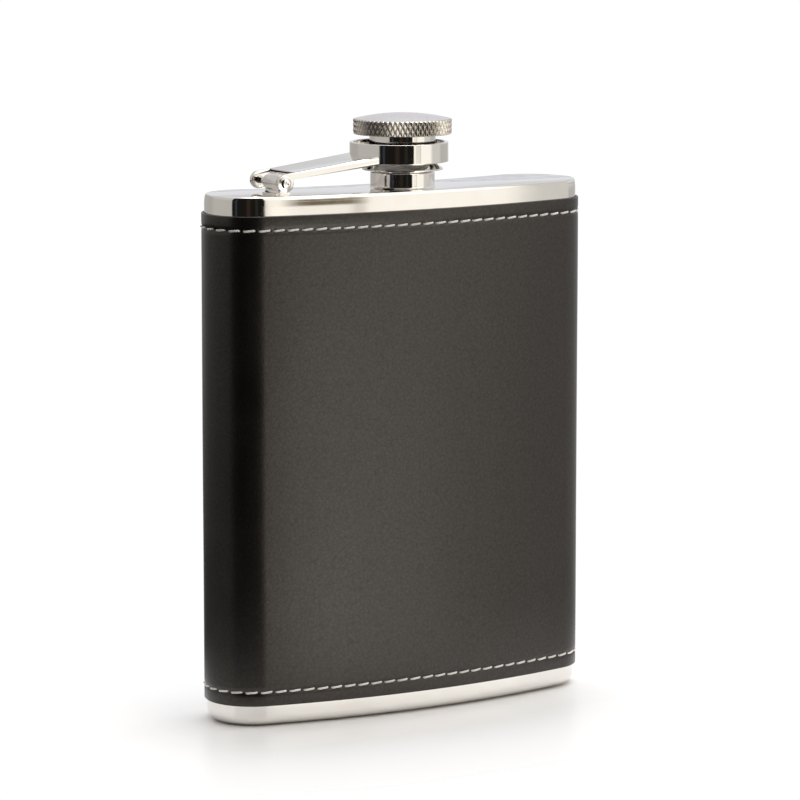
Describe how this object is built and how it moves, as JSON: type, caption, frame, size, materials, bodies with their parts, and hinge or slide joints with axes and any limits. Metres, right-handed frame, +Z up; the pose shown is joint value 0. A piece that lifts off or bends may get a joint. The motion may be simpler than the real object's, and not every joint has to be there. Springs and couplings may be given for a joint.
{
  "type": "hip flask",
  "caption": "Curved steel pocket flask in a stitched leather wrap, with a knurled screw cap held captive by a collar on a hinged arm.",
  "frame": {"origin": "underside of the base, on the axis of the neck", "axes": "+Z up along the neck, +X to the right seen from the front, +Y towards the concave back"},
  "size_m": [0.0978, 0.0276, 0.137],
  "materials": {
    "polished_steel": "mirror polished stainless steel",
    "satin_steel": "satin turned stainless steel, knurled edge",
    "seal_plastic": "soft food-grade plastic",
    "lining_fabric": "bonded fibre backing",
    "wrap_leather": "fine-grained semi-matt bonded leather",
    "stitch_thread": "waxed polyester thread"
  },
  "bodies": {
    "flask_body": {"body_tube": "polished_steel", "base_pan": "polished_steel", "top_plate": "polished_steel", "neck": "polished_steel", "hinge_bracket": "polished_steel", "hinge_pin": "polished_steel", "wrap_lining": "lining_fabric", "leather_wrap": "wrap_leather", "stitch_thread_top": "stitch_thread", "stitch_thread_bottom": "stitch_thread"},
    "lid_arm": {"swing_arm": "polished_steel", "captive_collar": "polished_steel"},
    "cap_liner": {"cap_seal": "seal_plastic"},
    "screw_cap": {"cap_head": "satin_steel", "cap_skirt": "polished_steel"}
  },
  "joints": [
    {"name": "arm_swing", "type": "hinge", "parent": "flask_body", "child": "lid_arm", "pos_m": [-0.03435, 0, 0.12285], "axis": [0, -1, 0], "range_deg": [0, 175]},
    {"name": "cap_lift", "type": "slide", "parent": "lid_arm", "child": "cap_liner", "axis": [0, 0, 1], "range_m": [0, 0.003]},
    {"name": "cap_spin", "type": "hinge", "parent": "cap_liner", "child": "screw_cap", "pos_m": [0, 0, 0.13], "axis": [0, 0, 1], "range_deg": [0, 720]}
  ],
  "couplings": [
    {"joint": "cap_lift", "follows": "cap_spin", "m_per_rad": 0.00023873}
  ]
}
